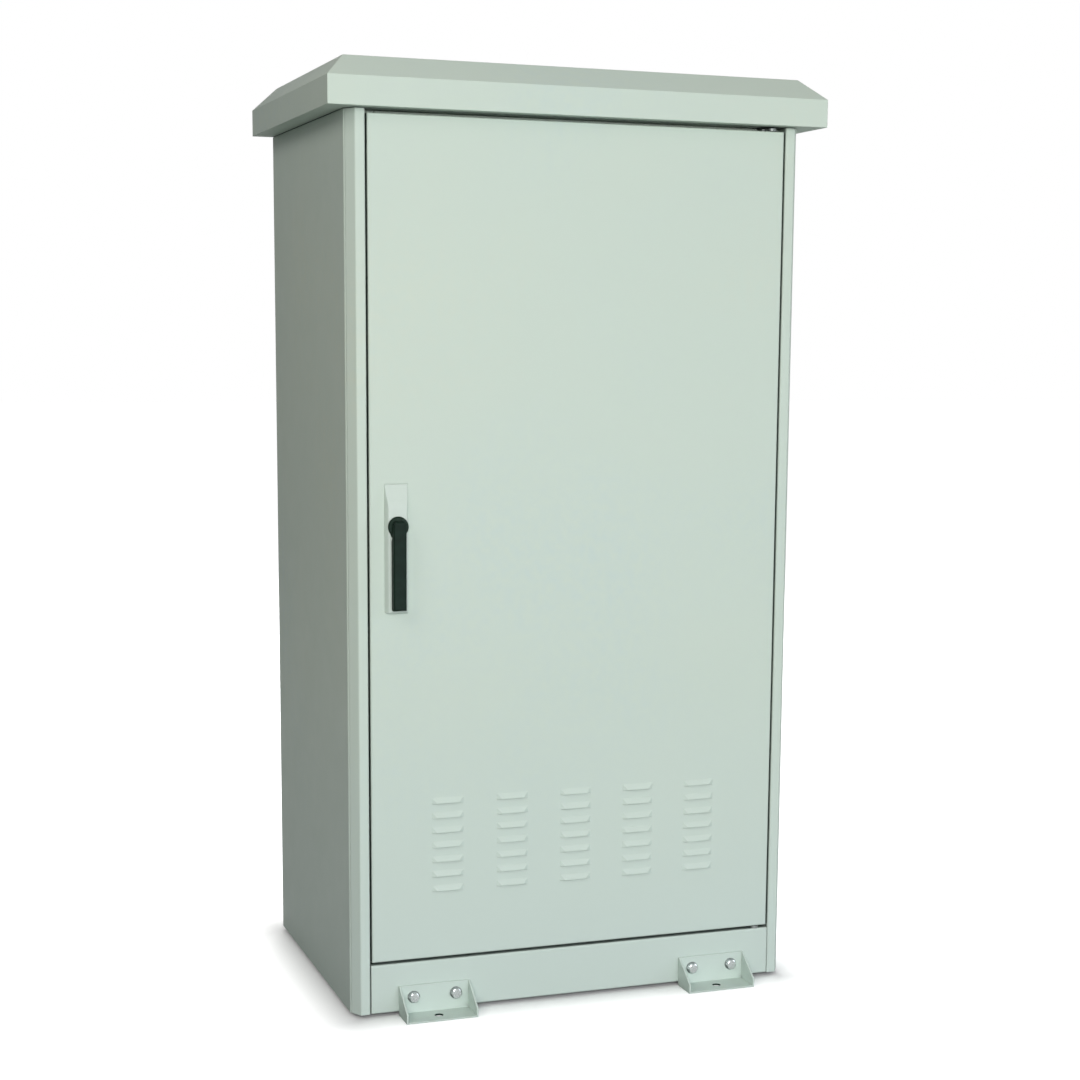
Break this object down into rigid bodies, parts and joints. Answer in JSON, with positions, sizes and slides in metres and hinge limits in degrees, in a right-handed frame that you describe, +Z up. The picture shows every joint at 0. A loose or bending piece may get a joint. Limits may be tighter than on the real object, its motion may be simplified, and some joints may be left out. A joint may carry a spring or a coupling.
{
  "type": "roadside utility cabinet",
  "caption": "Outdoor utility cabinet of folded sheet with a hipped roof cap, full-height louvred door on pivot pins, lever lock driving rods, anchor brackets and 19-inch mounting rails.",
  "frame": {"origin": "on the ground under the middle of the overall box", "axes": "+X to the right seen from the front, +Y from the door to the rear panel, +Z up"},
  "size_m": [0.872, 0.676, 1.588],
  "materials": {
    "paint": "satin pale grey-green powder coat",
    "galvanised": "galvanised sheet",
    "zinc": "bright zinc plate",
    "handle_black": "satin black",
    "black_plastic": "moulded",
    "rubber": "matt",
    "foam": "foamed",
    "filter_mat": "fibre mat"
  },
  "bodies": {
    "cabinet": {"post_front_left": "paint", "post_front_right": "paint", "post_rear_left": "paint", "post_rear_right": "paint", "head_rail_front": "paint", "head_rail_rear": "paint", "head_rail_left": "paint", "head_rail_right": "paint", "base_rail_front": "paint", "base_rail_rear": "paint", "base_rail_left": "paint", "base_rail_right": "paint", "base_plate": "galvanised", "cable_grommets": "rubber", "ceiling_plate": "galvanised", "roof_cap": "paint", "roof_bolts": "zinc", "side_panel_left": "paint", "side_panel_right": "paint", "rear_panel": "paint", "rear_panel_screws": "zinc", "rack_rail_front_left": "galvanised", "rack_rail_front_right": "galvanised", "rack_rail_rear_left": "galvanised", "rack_rail_rear_right": "galvanised", "fan_frame_left": "black_plastic", "fan_frame_right": "black_plastic", "fan_guards": "zinc", "bracket_front_left": "paint", "bracket_front_right": "paint", "bracket_rear_left": "paint", "bracket_rear_right": "paint", "bracket_bolts": "zinc", "bracket_washers": "zinc", "bracket_nuts": "zinc", "hinge_bracket_top": "zinc", "hinge_bracket_bottom": "zinc", "hinge_pin_top": "zinc", "hinge_pin_bottom": "zinc"},
    "door": {"door_panel": "paint", "door_gasket": "foam", "door_stiffener_left": "paint", "door_stiffener_right": "paint", "filter_frame": "galvanised", "filter_pad": "filter_mat", "hinge_bushes": "black_plastic", "lock_housing": "paint", "lock_case": "galvanised", "rod_guides": "black_plastic"},
    "spindle": {"lock_spindle": "handle_black", "drive_pinion": "zinc"},
    "lever": {"lever": "handle_black", "lever_pin": "zinc"},
    "upper_rod": {"upper_lock_rod": "zinc"},
    "lower_rod": {"lower_lock_rod": "zinc"},
    "fan_left": {"fan_rotor_left": "black_plastic"},
    "fan_right": {"fan_rotor_right": "black_plastic"}
  },
  "joints": [
    {"name": "door_swing", "type": "hinge", "parent": "cabinet", "child": "door", "pos_m": [0.3465, -0.276, 0.8], "axis": [0, 0, 1], "range_deg": [0, 120]},
    {"name": "handle_turn", "type": "hinge", "parent": "door", "child": "spindle", "pos_m": [-0.322, -0.285, 0.837], "axis": [0, -1, 0], "range_deg": [0, 90]},
    {"name": "lever_lift", "type": "hinge", "parent": "spindle", "child": "lever", "pos_m": [-0.322, -0.3081, 0.84325], "axis": [-1, 0, 0], "range_deg": [0, 35]},
    {"name": "upper_rod_slide", "type": "slide", "parent": "door", "child": "upper_rod", "axis": [0, 0, -1], "range_m": [0, 0.0189]},
    {"name": "lower_rod_slide", "type": "slide", "parent": "door", "child": "lower_rod", "axis": [0, 0, 1], "range_m": [0, 0.0189]},
    {"name": "fan_left_spin", "type": "hinge", "parent": "cabinet", "child": "fan_left", "pos_m": [-0.11, 0, 1.447], "axis": [0, 0, 1], "continuous": true},
    {"name": "fan_right_spin", "type": "hinge", "parent": "cabinet", "child": "fan_right", "pos_m": [0.11, 0, 1.447], "axis": [0, 0, 1], "continuous": true}
  ],
  "couplings": [
    {"joint": "upper_rod_slide", "follows": "handle_turn", "m_per_rad": 0.012},
    {"joint": "lower_rod_slide", "follows": "handle_turn", "m_per_rad": 0.012}
  ]
}
